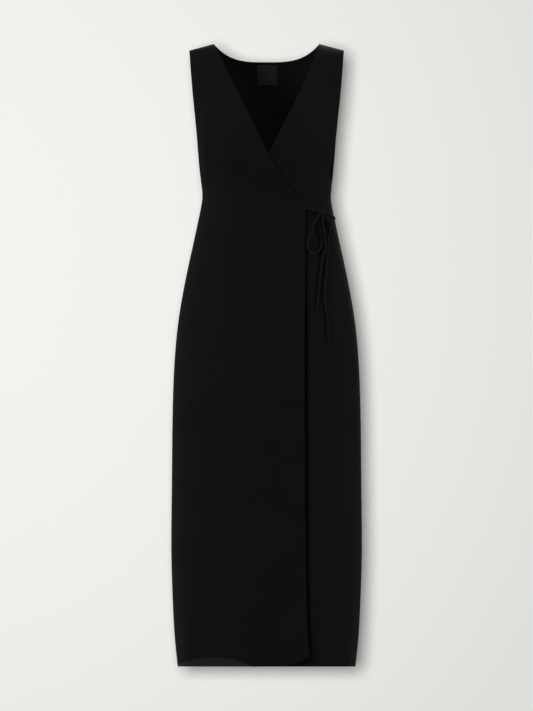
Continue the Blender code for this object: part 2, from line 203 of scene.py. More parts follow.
# A crease runs from one place to another, x and drop. It is a trough where out is negative.
CREASES = table("side x drop x_end drop_end width out", (
    (FRONT, -140, 20, -134, 136, 8, -5.0),
    (FRONT, 132, 34, 138, 120, 8, -4.4),
    (FRONT, 104, 84, 84, 150, 12, 2.0),
    (FRONT, -143, 96, -126, 330, 9, 3.4),
    (FRONT, -118, 150, -108, 260, 9, -0.9),
    (FRONT, 118, 150, 112, 230, 9, -0.8),
    (FRONT, 150, 258, 126, 300, 9, -4.2),
    (FRONT, 146, 326, 112, 314, 8, 3.0),
    (FRONT, -140, 330, -92, 322, 9, -1.2),
    (FRONT, -138, 352, -70, 350, 10, 1.0),
    (FRONT, 78, 352, 20, 330, 7, -0.9),
    (FRONT, 74, 368, 0, 372, 9, 0.9),
    (FRONT, 70, 392, -20, 430, 11, -0.8),
    (FRONT, -150, 520, -176, 900, 12, 1.2),
    (FRONT, 150, 500, 178, 860, 12, 1.2),
    (FRONT, 128, 470, 150, 760, 13, -1.2),
    (BACK, -138, 322, -70, 330, 9, -1.6),
    (BACK, 138, 322, 66, 332, 9, -1.6),
    (BACK, -132, 348, -20, 352, 11, 1.4),
    (BACK, 130, 350, 24, 358, 11, 1.3),
    (BACK, -120, 372, -30, 392, 12, -1.2),
    (BACK, 118, 376, 20, 398, 12, -1.1),
    (BACK, -138, 60, -126, 190, 9, -1.8),
    (BACK, 138, 66, 128, 180, 9, -1.6),
    (BACK, -146, 230, -116, 300, 9, 1.4),
    (BACK, 146, 236, 118, 296, 9, 1.3),
    (BACK, 2, 470, 8, 900, 20, -1.6),
))
print(len(FOLDS), "folds and", len(CREASES), "creases")

# %% [markdown]
# A fold is a low ridge or trough down the skirt, one bell curve wide, that grows towards the hem.
# A crease is a shorter one between two places. All of them add up to one distance, by which the
# cloth stands out from its smooth form.

# %% How far folds and creases stand out
HEM_DROP = 1367 * MM
CREASE_WAVER = 0.35
CREASE_FADE = 2.2


def ease(share):
    """0 below 0, 1 above 1 and a smooth step between."""
    share = np.clip(share, 0.0, 1.0)
    return share * share * (3 - 2 * share)


def bell(*offsets):
    """A bell curve over one or two offsets from its middle, each in widths of its own."""
    return np.exp(-sum(offset ** 2 for offset in offsets))


def fold_out(side, angle, drop):
    """How far the skirt's folds stand out."""
    out = np.zeros(np.broadcast(angle, drop).shape)
    for fold in FOLDS:
        if fold.side == side:
            across = (angle - radians(fold.angle)) / radians(fold.width)
            down = ease((drop - fold.start * MM) / (HEM_DROP - fold.start * MM))
            out = out + fold.out * MM * bell(across) * down
    return out


def crease_out(side, x, drop):
    """How far the creases stand out. Each fades towards its ends and wavers a little."""
    out = np.zeros(np.broadcast(x, drop).shape)
    for i, crease in enumerate(CREASES):
        if crease.side == side:
            start = np.array([crease.x, crease.drop]) * MM
            way = np.array([crease.x_end, crease.drop_end]) * MM - start
            length = np.hypot(*way)
            way = way / length
            along = ((x - start[0]) * way[0] + (drop - start[1]) * way[1]) / length
            waver = CREASE_WAVER * crease.width * MM * np.sin(2 * pi * along + i)
            aside = (drop - start[1]) * way[0] - (x - start[0]) * way[1] - waver
            fade = ease(CREASE_FADE * along) * ease(CREASE_FADE * (1 - along))
            out = out + crease.out * MM * bell(aside / (crease.width * MM)) * fade
    return out


last = float(fold_out(FRONT, radians(62), HEM_DROP))
print(f"the fold at 62 degrees stands out {last:.4f} m at the hem")

# %% [markdown]
# ## A point of the cloth
#
# The section is a squared ellipse, the shoulders roll over in a quarter circle and fall towards
# the arms, and the folds and the fullness over the bust move the cloth out along its level normal.

# %% From side, angle and drop to a point
SQUARE = 2.3
SHOULDER_ROLL = 36 * MM
NECK_HALF = 116 * MM
TIP_HALF = 169.5 * MM
TIP_DROP = 14.4 * MM
SLOPE_FADE = 200 * MM
UNDERARM_DROP = 315 * MM
SEAM_GAP = 0.86 * MM
BUST = Sizes(x=78 * MM, drop=205 * MM, width=44 * MM, height=62 * MM, fullness=9 * MM)
TINY = 1e-12


def signed_power(value, power):
    return np.sign(value) * np.abs(value) ** power


def angle_at(x, drop):
    """The angle at which a level's section has this x."""
    share = np.minimum(np.abs(x) / half_width(drop), 1.0) ** (SQUARE / 2)
    return np.arcsin(share) * np.sign(x)


def side_angle(drop, inset=0.0):
    """The angle at which the cloth ends: at the armhole's edge, or below it on the side seam."""
    edge_drop = drop + TIP_DROP * (1 - ease(drop / SLOPE_FADE))
    x = armhole_x(edge_drop) - inset * armhole_inset(edge_drop)
    return np.where(drop >= UNDERARM_DROP, pi / 2, angle_at(x, drop))


def cloth(side, angle, drop, out=0.0):
    """Points of the outer face and their level normals, moved out along those normals."""
    half = half_width(drop)
    turn = np.minimum(drop / SHOULDER_ROLL, 1.0)
    depth = centre_depth[side](drop) * np.sqrt(1 - (1 - turn) ** 2)
    across = signed_power(np.sin(angle), 2 / SQUARE)
    forward = np.maximum(np.cos(angle), 0.0) ** (2 / SQUARE)
    sideways = signed_power(across, SQUARE - 1) * depth
    outward = side * forward ** (SQUARE - 1) * half
    normal = np.stack([sideways, outward, np.zeros_like(half * across)], axis=-1)
    size = np.linalg.norm(normal, axis=-1, keepdims=True)
    normal = np.where(size > TINY, normal / np.maximum(size, TINY), [0.0, side, 0.0])
    x = half * across
    out = out + fold_out(side, angle, drop) + crease_out(side, x, drop)
    if side == FRONT:
        out = out + BUST.fullness * bell((np.abs(x) - BUST.x) / BUST.width,
                                         (drop - BUST.drop) / BUST.height)
    beyond = np.clip((np.abs(x) - NECK_HALF) / (TIP_HALF - NECK_HALF), 0.0, 1.0)
    slope = TIP_DROP * beyond * (1 - ease(drop / SLOPE_FADE))
    point = np.stack([x, side * (SEAM_GAP / 2 + depth * forward), -drop - slope], axis=-1)
    return point + out[..., None] * normal, normal


middle = cloth(FRONT, np.array(0.0), np.array(0.7))[0]
print("front of the hips:", np.round(middle, 3))

# %% [markdown]
# ## Rows
#
# A panel is a grid of rows from the shoulder seam to the hem. They lie close together where the
# shoulder rolls over and evenly below it, so they follow each bend with as few faces as will do.

# %% The rows of every panel
ROW_STEP = 5.4 * MM
ROLL_ROWS = 12


def row_drops():
    """The drop of each row: close together over the shoulder's roll, then even down to the hem."""
    roll = SHOULDER_ROLL * (1 - np.cos(np.linspace(0, pi / 2, ROLL_ROWS + 1)))
    drops = [roll]
    for top, bottom in ((SHOULDER_ROLL, UNDERARM_DROP), (UNDERARM_DROP, HEM_DROP)):
        drops.append(np.linspace(top, bottom, round((bottom - top) / ROW_STEP) + 1)[1:])
    return np.concatenate(drops)


ROWS = row_drops()
print(len(ROWS), "rows")

# %% [markdown]
# ## The wrap
#
# The wrap climbs over the front under it by one layer. Its free edge stands off in the way of a
# loose edge, and its hem lifts in a low arc on the wearer's right and up to its corner on the
# left, so the back's hem shows there. Along a turned edge the cloth is two layers thick, which
# shows as a faint step.

# %% The wrap's rule
LAYER = 2.6 * MM
LAYER_RAMP = 45 * MM
FREE_EDGE_WIDTH = 80 * MM
FREE_EDGE = table("drop off", (
    (230, 0), (300, 1), (357.5, 1.2), (400, 2), (480, 3), (700, 4.8), (1100, 5.5), (1290, 7.5),
    (1367, 12),
))
FREE_EDGE_BEND = 1.5
HEM_BAND = 150 * MM
ARC = Sizes(x=-118 * MM, half=80 * MM, rise=19.5 * MM, out=4 * MM, round=0.7)
CORNER = Sizes(start=24 * MM, end=94 * MM, rise=22.5 * MM, bend=1.6)
PRESSED = Sizes(width=13 * MM, step=4 * MM, out=0.3 * MM)
free_edge_stand = Curve(FREE_EDGE, "off")


def pressed(x, edge):
    """The cloth is two layers thick along a turned edge, which shows as a faint step."""
    return PRESSED.out * (1 - ease((np.abs(x - edge) - PRESSED.width) / PRESSED.step))


def wrap_points(across):
    """The wrap: from the wearer's right side seam (across 0) to its free edge (across 1)."""
    drop = ROWS[:, None]
    edge = wrap_edge(drop)
    start = -side_angle(drop)
    angle = start + (angle_at(edge, drop) - start) * across
    x = cloth(FRONT, angle, drop)[0][..., 0]
    near_edge = ease((x - edge + FREE_EDGE_WIDTH) / FREE_EDGE_WIDTH)
    arc = np.maximum(0.0, 1 - ((x - ARC.x) / ARC.half) ** 2) ** ARC.round
    low = ease((drop - HEM_DROP + HEM_BAND) / HEM_BAND)
    out = LAYER * ease((x - under_edge(drop) + LAYER_RAMP) / LAYER_RAMP)
    out = out + free_edge_stand(drop) * near_edge ** FREE_EDGE_BEND
    out = out + pressed(x, edge)
    point = cloth(FRONT, angle, drop, out + ARC.out * arc * low)[0]
    corner = np.clip((x - CORNER.start) / (CORNER.end - CORNER.start), 0.0, 1.0)
    point[..., 2] += (ARC.rise * arc + CORNER.rise * corner ** CORNER.bend) * low
    return point


print("the free edge stands off up to", FREE_EDGE[-1].off, "mm")

# %% [markdown]
# ## The front under it
#
# The left front shows only beside the wrap. It dips in a soft groove along the wrap's free edge,
# in a small hollow behind the bow, and in a wide one under the lifted corner, where the wrap's
# shadow falls on it.

# %% The rule of the front under it
GROOVE = Sizes(start=360 * MM, ramp=330 * MM, beside=1.0 * MM, width=5.0 * MM, depth=6.5 * MM)
DIP = Sizes(band=60 * MM, beside=-30 * MM, width=28 * MM, depth=10 * MM)
HOLLOW = Sizes(x=130.5 * MM, drop=396 * MM, width=5 * MM, height=22 * MM, depth=6 * MM)


def under_points(across):
    """The front under it: from its free edge (across 0) to the left side seam (across 1)."""
    drop = ROWS[:, None]
    start = angle_at(under_edge(drop), drop)
    angle = start + (side_angle(drop, 1) - start) * across
    x = cloth(FRONT, angle, drop)[0][..., 0]
    aside = x - wrap_edge(drop)
    low = ease((drop - HEM_DROP + DIP.band) / DIP.band)
    along = ease((drop - GROOVE.start) / GROOVE.ramp) * (1 - low)
    sunk = GROOVE.depth * bell((aside - GROOVE.beside) / GROOVE.width) * along
    sunk = sunk + DIP.depth * bell((aside - DIP.beside) / DIP.width) * low
    sunk = sunk + HOLLOW.depth * bell((x - HOLLOW.x) / HOLLOW.width,
                                      (drop - HOLLOW.drop) / HOLLOW.height)
    return cloth(FRONT, angle, drop, pressed(x, under_edge(drop)) - sunk)[0]


print(f"the groove is {GROOVE.depth:.4f} m deep, the dip under the corner {DIP.depth:.4f} m")

# %% [markdown]
# ## The back
#
# The back is cut in one. Its top row follows the scooped neck and the two shoulder seams, and the
# rows under it ease out of that curve until they lie level.

# %% The back's rule
BACK_NECK_DROP = 40.5 * MM
NECK_SQUARE = 3.4
NECK_SHARE = 0.5


def back_points(across):
    """The back: from the wearer's left side seam (across 0) to the right one (across 1)."""
    share = 1 - 2 * across
    beyond = np.clip((np.abs(share) - NECK_SHARE) / (1 - NECK_SHARE), 0.0, 1.0)
    turn = np.clip(share / NECK_SHARE, -1.0, 1.0) * pi / 2
    x = NECK_HALF * np.sin(turn) + np.sign(share) * (TIP_HALF - NECK_HALF) * beyond
    top = BACK_NECK_DROP * (1 - np.abs(np.sin(turn)) ** NECK_SQUARE)
    drop = ROWS[:, None] + top * np.maximum(0.0, 1 - ROWS[:, None] / SLOPE_FADE)
    top_share = angle_at(x, top) / side_angle(top)
    mixed = top_share + (share - top_share) * ease(ROWS[:, None] / UNDERARM_DROP)
    return cloth(BACK, mixed * side_angle(drop), drop)[0]


print("the back neck is", BACK_NECK_DROP, "m deep")

# %% [markdown]
# ## Turned edges
#
# No edge of real cloth is left raw. It turns to the inside round a small fold and lies there as a
# second layer, at a hem, at a neck edge and at a seam alike, where it is the seam allowance
# pressed open. So each panel's grid gets more columns and rows: half a circle round the fold, then
# a few that run back along the inside. The hem's allowance is twice as wide as a seam's, so that
# it hangs well.

# %% Turn the edges in
TURN = Sizes(depth=0.9 * MM, hem_depth=1.15 * MM, reach=(0, 3 * MM, 7 * MM, 11 * MM),
             hem_reach=(0, 4 * MM, 9 * MM, 15 * MM, 22 * MM), most=0.4)


def grid_normals(points):
    """The outward normals of a grid of points, from its own rows and columns."""
    across = np.gradient(points, axis=1)
    down = np.gradient(points, axis=0)
    normal = np.cross(down, across)
    return normal / np.maximum(np.linalg.norm(normal, axis=-1, keepdims=True), TINY)


def turned(points, normals, depth, reach):
    """The layer turned in at the start of each line of a grid, from its far end to the fold."""
    steps = np.linalg.norm(np.diff(points, axis=1), axis=-1)
    all_lengths = np.concatenate([np.zeros((len(points), 1)), np.cumsum(steps, axis=1)], axis=1)
    layer = np.empty((len(points), len(reach) + 1, 3))
    layer_normals = np.empty_like(layer)
    for line, (spots, ways, lengths) in enumerate(zip(points, normals, all_lengths)):
        for k, back in enumerate(reversed(reach)):
            back = min(back, TURN.most * lengths[-1])
            spot = [np.interp(back, lengths, spots[:, axis]) for axis in range(3)]
            way = [np.interp(back, lengths, ways[:, axis]) for axis in range(3)]
            layer[line, k] = np.array(spot) - np.array(way) * depth
            layer_normals[line, k] = way
        outward = spots[0] - spots[1]
        outward = outward / max(np.linalg.norm(outward), TINY)
        layer[line, -1] = spots[0] - ways[0] * depth / 2 + outward * depth / 2
        layer_normals[line, -1] = ways[0]
    return layer, layer_normals


def turn_sides(points, normals, depth, last_reach):
    """A grid with both sides of its lines turned in."""
    first, first_normals = turned(points, normals, depth, TURN.reach)
    last, last_normals = turned(points[:, ::-1], normals[:, ::-1], depth, last_reach)
    points = np.concatenate([first, points, last[:, ::-1]], axis=1)
    normals = np.concatenate([first_normals, normals, last_normals[:, ::-1]], axis=1)
    return points, normals


def turn_all(points):
    """A panel's grid with its sides turned in first, then its top and its hem over them."""
    points, normals = turn_sides(points, grid_normals(points), TURN.depth, TURN.reach)
    points, normals = points.transpose(1, 0, 2), normals.transpose(1, 0, 2)
    points, normals = turn_sides(points, normals, TURN.hem_depth, TURN.hem_reach)
    return points.transpose(1, 0, 2)


print(f"seam allowance {TURN.reach[-1]} m, hem {TURN.hem_reach[-1]} m")

# %% [markdown]
# ## From a grid to cloth
#
# The panel starts as Blender's own grid primitive, whose corners are laid on the form. Its UV map
# is unrolled in metres, so a weave keeps its size wherever the panel narrows.


# %% Lay a grid and unroll its UV map
def new_piece(name):
    """Names the object that an operator has just added."""
    thing = bpy.context.object
    thing.name = name
    thing.data.name = name
    return thing


def unrolled(points):
    """Each point's place on the flat cloth: along its row from the middle, down its column."""
    wide = np.linalg.norm(np.diff(points, axis=1, prepend=points[:, :1]), axis=-1)
    high = np.linalg.norm(np.diff(points, axis=0, prepend=points[:1]), axis=-1)
    across = np.cumsum(wide, axis=1)
    across = across - across[:, across.shape[1] // 2, None]
    return np.stack([across, -np.cumsum(high, axis=0)], axis=-1)


def lay_grid(name, points):
    """A grid primitive with its corners laid on a grid of points, rows from the top down."""
    rows, columns = points.shape[:2]
    bpy.ops.object.select_all(action="DESELECT")
    bpy.ops.mesh.primitive_grid_add(x_subdivisions=columns - 1, y_subdivisions=rows - 1, size=1)
    thing = new_piece(name)
    upward = points[::-1].reshape(-1, 3)
    flat = unrolled(points)[::-1].reshape(-1, 2)
    thing.data.vertices.foreach_set("co", upward.astype(np.float32).ravel())
    corners = np.empty(len(thing.data.loops), dtype=np.int32)
    thing.data.loops.foreach_get("vertex_index", corners)
    thing.data.uv_layers.active.data.foreach_set("uv", flat[corners].astype(np.float32).ravel())
    thing.data.update()
    return thing


print("ready to lay grids")

# %% [markdown]
# A sheet without thickness looks like paper at its edges, so Solidify gives the cloth its wall. It
# grows inwards, and the face that shows stays where it was laid.

# %% Give a sheet its wall
CLOTH_WALL = 0.4 * MM
CLOTH_SMOOTH = radians(40)


def only(thing):
    """Selects one object and nothing else."""
    bpy.ops.object.select_all(action="DESELECT")
    thing.select_set(True)
    bpy.context.view_layer.objects.active = thing


def give_wall(thing, thickness):
    """Solidify to the inside of the face that shows."""
    only(thing)
    wall = thing.modifiers.new("wall", "SOLIDIFY")
    wall.thickness = thickness
    wall.offset = -1.0
    wall.use_even_offset = False
    bpy.ops.object.modifier_apply(modifier="wall")
    bpy.ops.object.shade_smooth_by_angle(angle=CLOTH_SMOOTH)


print("cloth wall", CLOTH_WALL, "m")

# %% [markdown]
# A pattern cutter needs each panel's flat size. It is measured on the panel itself, along its
# longest row and column and over all its faces, with the turned edges.


# %% Make the three panels
def grid_area(points):
    """The area of a grid of points, in square metres."""
    one = np.cross(points[1:, :-1] - points[:-1, :-1], points[:-1, 1:] - points[:-1, :-1])
    other = np.cross(points[:-1, 1:] - points[1:, 1:], points[1:, :-1] - points[1:, 1:])
    return float((np.linalg.norm(one, axis=-1) + np.linalg.norm(other, axis=-1)).sum() / 2)


def make_panel(name, rule, columns):
    """One panel with its turned edges, and the flat size and area that it is cut to."""
    points = turn_all(rule(np.linspace(0.0, 1.0, columns)[None, :]))
    panel = lay_grid(name, points)
    give_wall(panel, CLOTH_WALL)
    area = grid_area(points)
    size = tuple(float(np.linalg.norm(np.diff(points, axis=axis), axis=-1).sum(axis=axis).max())
                 for axis in (1, 0))
    print(f"{name}: cut {size[0]:.3f} x {size[1]:.3f} m, {area:.3f} m2")
    return panel, size, area


front_wrap, wrap_cut, wrap_area = make_panel("cloth_front_wrap", wrap_points, columns=108)
front_under, under_cut, under_area = make_panel("cloth_front_under", under_points, columns=104)
back, back_cut, back_area = make_panel("cloth_back", back_points, columns=129)

# %% [markdown]
# ## The neck label
#
# A woven satin label is sewn inside the back neck. It is a thin flap with its two ends folded
# under and sewn down, so it is a small sheet of its own that stands a little off the cloth between
# them. It is left bare.

# %% Make the label
LABEL = Sizes(left=-20.2 * MM, right=22.7 * MM, top=46.4 * MM, bottom=90 * MM, wall=0.45 * MM,
              gap=1.4 * MM, slack=2.6 * MM, slack_above=0.6, columns=30, rows=30)


def label_points():
    """The label's grid: it bows inwards between its ends, and a little more at the bottom."""
    across = np.linspace(0.0, 1.0, LABEL.columns)[None, :]
    down = np.linspace(0.0, 1.0, LABEL.rows)[:, None]
    x = LABEL.left + (LABEL.right - LABEL.left) * across
    drop = LABEL.top + (LABEL.bottom - LABEL.top) * down
    looser = LABEL.slack_above + (1 - LABEL.slack_above) * down
    inside = LABEL.gap + LABEL.slack * np.sin(pi * across) * looser
    x, drop = np.broadcast_arrays(x, drop)
    return cloth(BACK, angle_at(x, drop), drop, -inside)[0]


label_grid = label_points()[:, ::-1]
label = lay_grid("cloth_neck_label", label_grid)
give_wall(label, LABEL.wall)
label_area = grid_area(label_grid)
print(f"label: {label_area * 1e4:.1f} cm2")

# %% [markdown]
# ## The ties
#
# A rouleau is a bias-cut strip sewn into a tube and turned right side out, 4.4 mm thick and quite
# limp. Each tie is one length: it leaves its seam, goes through the knot, makes its loop of the
# bow, and comes back through the knot to hang down as its tail. So its route has three stretches,
# a lead, a loop and a tail. A stop on it is a place over the cloth, given as x, drop and lift, or
# a way out of the knot, given as a turn and a tilt in degrees.

# %% The ties' routes
TIE_WRAP = (
    ((84.9, 360.0, 2.7), (94.0, 362.2, 3.2), (103.5, 365.3, 5.2), (-102, 0)),
    ((-65, 24), (107.4, 384, 9.4), (104.2, 398, 8.8), (100.9, 410, 8.4), (95.6, 422, 8.0),
     (91.2, 433, 7.4), (90.4, 446, 6.6), (96.5, 457.5, 5.2), (107.5, 460, 3.8),
     (117.0, 452, 2.9), (121.6, 437, 3.2), (120.8, 422, 4.4), (116.8, 408, 5.6),
     (114.2, 393, 6.4), (-38, -14)),
    ((2, 26), (121.9, 392, 11.0), (125.6, 409, 10.6), (128.9, 427, 9.2), (129.7, 444, 7.6),
     (125.8, 462, 5.4), (121.9, 482, 3.6), (119.2, 502, 2.8), (116.2, 524, 2.8),
     (114.4, 545, 2.8), (112.9, 565, 2.8), (109.4, 582.3, 2.8)),
)
TIE_SIDE = (
    ((98, 0), (134.6, 373.4, 5.2), (142.6, 377.0, 3.0), (147.2, 380.0, 2.0), (149.6, 382.6, 0.9),
     (150.2, 384.6, -0.6)),
    ((48, 26), (138.0, 391, 10.5), (144.6, 407, 12.0), (149.2, 422, 13.0), (149.8, 435, 12.0),
     (145.4, 445, 9.0), (139.4, 444, 5.0), (135.6, 434, 2.8), (134.6, 424, 2.8),
     (135.6, 412, 2.8), (137.0, 400, 2.8), (135.0, 388, 3.2), (52, -14)),
    ((2, -14), (123.4, 392, 3.0), (126.6, 406, 4.6), (132.4, 420, 7.4), (134.6, 432, 7.8),
     (134.8, 446, 7.6), (133.6, 460, 5.6), (131.8, 477, 3.6), (130.7, 501.5, 2.8),
     (128.5, 528, 2.8), (127.4, 550, 2.8), (129.1, 574, 2.8), (132.7, 600.5, 2.8),
     (135.1, 631, 2.8), (136.8, 663.3, 2.8)),
)
print(sum(map(len, TIE_WRAP)), "stops on the wrap's tie,", sum(map(len, TIE_SIDE)), "on the other")

# %% [markdown]
# A stop's x is where it shows from the front, and the cloth under it bulges. So its foot on the
# cloth is moved in a few steps until the point over it shows in the right place. The knot is found
# in the same way.

# %% From a stop to a point
TIE = 4.4 * MM
KNOT = Sizes(x=120.6 * MM, drop=369.6 * MM, lift=7.8 * MM, radius=6.8 * MM, loop_depth=0.6 * MM,
             tail_over=1.2 * MM)
FOOT_STEPS = 12


def on_cloth(x, drop, lift):
    """The point a lift above the front's cloth that shows at x from the front, and its normal."""
    foot = x
    drop = np.array(drop)
    for _ in range(FOOT_STEPS):
        point, normal = cloth(FRONT, angle_at(np.array(foot), drop), drop, lift)
        foot += (x - point[0]) / 2
    return Vector(point), Vector(normal)


knot_centre, knot_normal = on_cloth(KNOT.x, KNOT.drop, KNOT.lift)
UP = Vector((0, 0, 1))
knot_left = UP.cross(knot_normal)


def stop_point(stop):
    """A place on the cloth, or the place at which a stretch meets the knot."""
    if len(stop) == 3:
        return on_cloth(*np.multiply(stop, MM))[0]
    turn, tilt = map(radians, stop)
    level = sin(turn) * knot_left - cos(turn) * UP
    return knot_centre + (cos(tilt) * level + sin(tilt) * knot_normal) * (KNOT.radius + TIE)


print("the knot is at", [round(part, 4) for part in knot_centre])

# %% [markdown]
# A limp tube takes no sharp turn. A Catmull-Rom curve goes through every stop, and a little easing
# takes off what corners it has left.

# %% The ties' lines
LINE = Sizes(step=1.2 * MM, samples=24, eased=10)


def lengths_along(line):
    """How far along a line each of its points lies."""
    steps = np.linalg.norm(np.diff(line, axis=0), axis=1)
    return np.concatenate([[0], np.cumsum(steps)])


def smooth_line(route):
    """Even points along the Catmull-Rom curve through a route, eased a little where it turns."""
    route = [2 * route[0] - route[1], *route, 2 * route[-1] - route[-2]]
    line = []
    for a, b, c, d in zip(route, route[1:], route[2:], route[3:]):
        for t in np.linspace(0, 1, LINE.samples, endpoint=False):
            line.append(0.5 * (2 * b + (c - a) * t + (2 * a - 5 * b + 4 * c - d) * t ** 2
                               + (3 * b - a - 3 * c + d) * t ** 3))
    line = np.array([*line, route[-2]])
    reach = lengths_along(line)
    even = np.linspace(0, reach[-1], round(reach[-1] / LINE.step) + 1)
    line = np.stack([np.interp(even, reach, line[:, axis]) for axis in range(3)], axis=1)
    for _ in range(LINE.eased):
        line[1:-1] = 0.5 * line[1:-1] + 0.25 * (line[:-2] + line[2:])
    return line


def tie_line(stretches, reverse_lead):
    """One tie's whole line: its lead, loop and tail, with short ways through the knot between."""
    lead, loop, tail = ([stop_point(stop) for stop in stretch] for stretch in stretches)
    if reverse_lead:
        lead = lead[::-1]
    inside = knot_centre - KNOT.loop_depth * knot_normal
    return smooth_line([*lead, inside, *loop, inside + KNOT.tail_over * knot_normal, *tail])


wrap_line = tie_line(TIE_WRAP, reverse_lead=False)
side_line = tie_line(TIE_SIDE, reverse_lead=True)

# %% [markdown]
# A curve with a round bevel is the quickest tube. Each point has its own radius, so the free end
# can close in a small dome, as it does where the strip is tucked in and sewn. It becomes a mesh at
# the end.

# %% Make the tubes
TUBE_SMOOTH = radians(60)
CLOSED_END = 0.35


def tube(name, lines, thickness, round_start=False, round_end=False, bevel=3):
    """A tube along each of some lines, with rounded ends where they show."""
    curve = bpy.data.curves.new(name, "CURVE")
    curve.dimensions = "3D"
    curve.bevel_depth = thickness / 2
    curve.bevel_resolution = bevel
    curve.use_fill_caps = True
    for line in lines:
        spline = curve.splines.new("POLY")
        spline.points.add(len(line) - 1)
        reach = lengths_along(line)
        for point, spot, along in zip(spline.points, line, reach):
            point.co = (*spot, 1)
            ends = [along] * round_start + [reach[-1] - along] * round_end
            near = min([1.0, *(distance / (thickness / 2) for distance in ends)])
            point.radius = max(CLOSED_END, (1 - (1 - near) ** 2) ** 0.5)
        spline.use_smooth = True
    thing = bpy.data.objects.new(name, curve)
    bpy.context.collection.objects.link(thing)
    only(thing)
    bpy.ops.object.convert(target="MESH")
    bpy.ops.object.mode_set(mode="EDIT")
    bpy.ops.mesh.select_all(action="SELECT")
    bpy.ops.mesh.remove_doubles(threshold=1e-6)
    bpy.ops.object.mode_set(mode="OBJECT")
    bpy.ops.object.shade_smooth_by_angle(angle=TUBE_SMOOTH)
    print(f"{name}: {len(thing.data.polygons)} faces")
    return thing


tie_wrap = tube("tie_wrap", [wrap_line], TIE, round_end=True)
tie_side = tube("tie_side", [side_line], TIE, round_end=True)

# %% [markdown]
# ## The knot
#
# In a bow one strand is wound once round the middle, over the front and down, and its turn hides
# where the loops and the tails pass through. So the knot is a turn and a half of the same tube,
# pulled a little thinner, wound round a level axis and drawn flat against the cloth. Both ends of
# the turn are tucked in under it.

# %% Wind the knot
WINDING = Sizes(turns=1.45, radius=4.5 * MM, shift=3.4 * MM, start=-150, flat=0.86, tuck=0.35,
                points=60, thickness=4.0 * MM)


def winding_line():
    """The middle line of the turn round the knot."""
    line = []
    for share in np.linspace(0, 1, WINDING.points).tolist():
        angle = radians(WINDING.start) + share * WINDING.turns * 2 * pi
        tuck = 1 - WINDING.tuck * abs(2 * share - 1) ** 6
        out = cos(angle) * WINDING.radius * WINDING.flat * tuck
        up = sin(angle) * WINDING.radius * tuck
        aside = (share - 0.5) * WINDING.shift
        line.append(knot_centre + out * knot_normal + up * UP + aside * knot_left)
    return np.array(line)


knot = tube("tie_knot_winding", [winding_line()], WINDING.thickness, round_start=True,
            round_end=True)

# %% [markdown]
# ## The sewing
#
# Little of it shows on such a dress. Every stitch is a short arch of thread between two places on
# the cloth, sunk at both ends, and a seam says how far apart its stitches are, how long each one
# is and how high it rises.

# %% One stitch
THREAD = 0.4 * MM
SINK = 0.2 * MM
ARCH = ((0.0, -SINK), (0.15, 0.6), (0.5, 1.0), (0.85, 0.6), (1.0, -SINK))
Seam = namedtuple("Seam", "pitch length rise")


def arch(start, end, normal, rise):
    """One stitch: an arch of thread between two places on the cloth, sunk a little at both."""
    return np.array([start + (end - start) * share + normal * (lift if lift < 0 else lift * rise)
                     for share, lift in ARCH])


def evenly(line, pitch):
    """Places along a line of points, one pitch apart, as shares of its index."""
    reach = lengths_along(line)
    return np.interp(np.arange(pitch, reach[-1] - pitch, pitch), reach, np.arange(len(line)))


def pick(values, place):
    """The value of a table of vectors at a fractional index."""
    rows = np.arange(len(values))
    return np.array([np.interp(place, rows, values[:, axis]) for axis in range(3)])


print(len(ARCH), "points to a stitch of", THREAD, "m thread")

# %% [markdown]
# The label is sewn down along its two ends, and left free between them.

# %% Sew the label
LABEL_SEAM = Seam(2.7 * MM, 1.9 * MM, 0.25 * MM)


def label_stitches():
    """A row down each end of the label, on the face that shows."""
    stitches = []
    step = LABEL_SEAM.length / (LABEL.bottom - LABEL.top) * (LABEL.rows - 1)
    for column in (1, -2):
        line = label_grid[:, column]
        normals = grid_normals(label_grid)[:, column]
        for place in evenly(line, LABEL_SEAM.pitch):
            stitches.append(arch(pick(line, place), pick(line, place + step),
                                 pick(normals, place), LABEL_SEAM.rise))
    return stitches


label_thread = tube("label_stitches", label_stitches(), THREAD, bevel=1)

# %% [markdown]
# The turned hem is caught on the inside by slanted blind stitches. Each picks up the hem's upper
# edge and a thread of the cloth above it, so nothing shows on the outside.

# %% Sew the hem
HEM_SEAM = Seam(7.0 * MM, 3.0 * MM, 0.4 * MM)
HEM_CATCH = Sizes(columns=90, rows_over=0.2, slant=1.5 * MM)


def hem_stitches(rule):
    """Slanted stitches on the inside, from the turned hem's upper edge into the cloth above it."""
    points = rule(np.linspace(0.0, 1.0, HEM_CATCH.columns)[None, :])
    inward = -grid_normals(points)
    hem_top = len(ROWS) - 1 - TURN.hem_reach[-1] / ROW_STEP

    def across_at(row, depth):
        under = int(row)
        share = row - under
        spots = points[under] * (1 - share) + points[under + 1] * share
        return spots + inward[under] * depth

    turned_edge = across_at(hem_top + HEM_CATCH.rows_over, TURN.hem_depth + CLOTH_WALL)
    cloth_above = across_at(hem_top - HEM_SEAM.length / ROW_STEP, CLOTH_WALL)
    step = HEM_CATCH.slant / np.diff(lengths_along(turned_edge)).mean()
    return [arch(pick(turned_edge, place), pick(cloth_above, place + step),
                 pick(inward[-1], place), HEM_SEAM.rise)
            for place in evenly(turned_edge, HEM_SEAM.pitch)]


hem_lines = [stitch for rule in (wrap_points, under_points, back_points)
             for stitch in hem_stitches(rule)]
hem_thread = tube("hem_stitches", hem_lines, THREAD, bevel=1)

# %% [markdown]
# A tie pulls at one spot, so each is held by a bar tack, a few close stitches side by side over
# its end.

# %% Tack the ties down
TACK = Sizes(rows=(-2, -1, 0, 1, 2), pitch=0.8 * MM, angle=1.15, points=7)


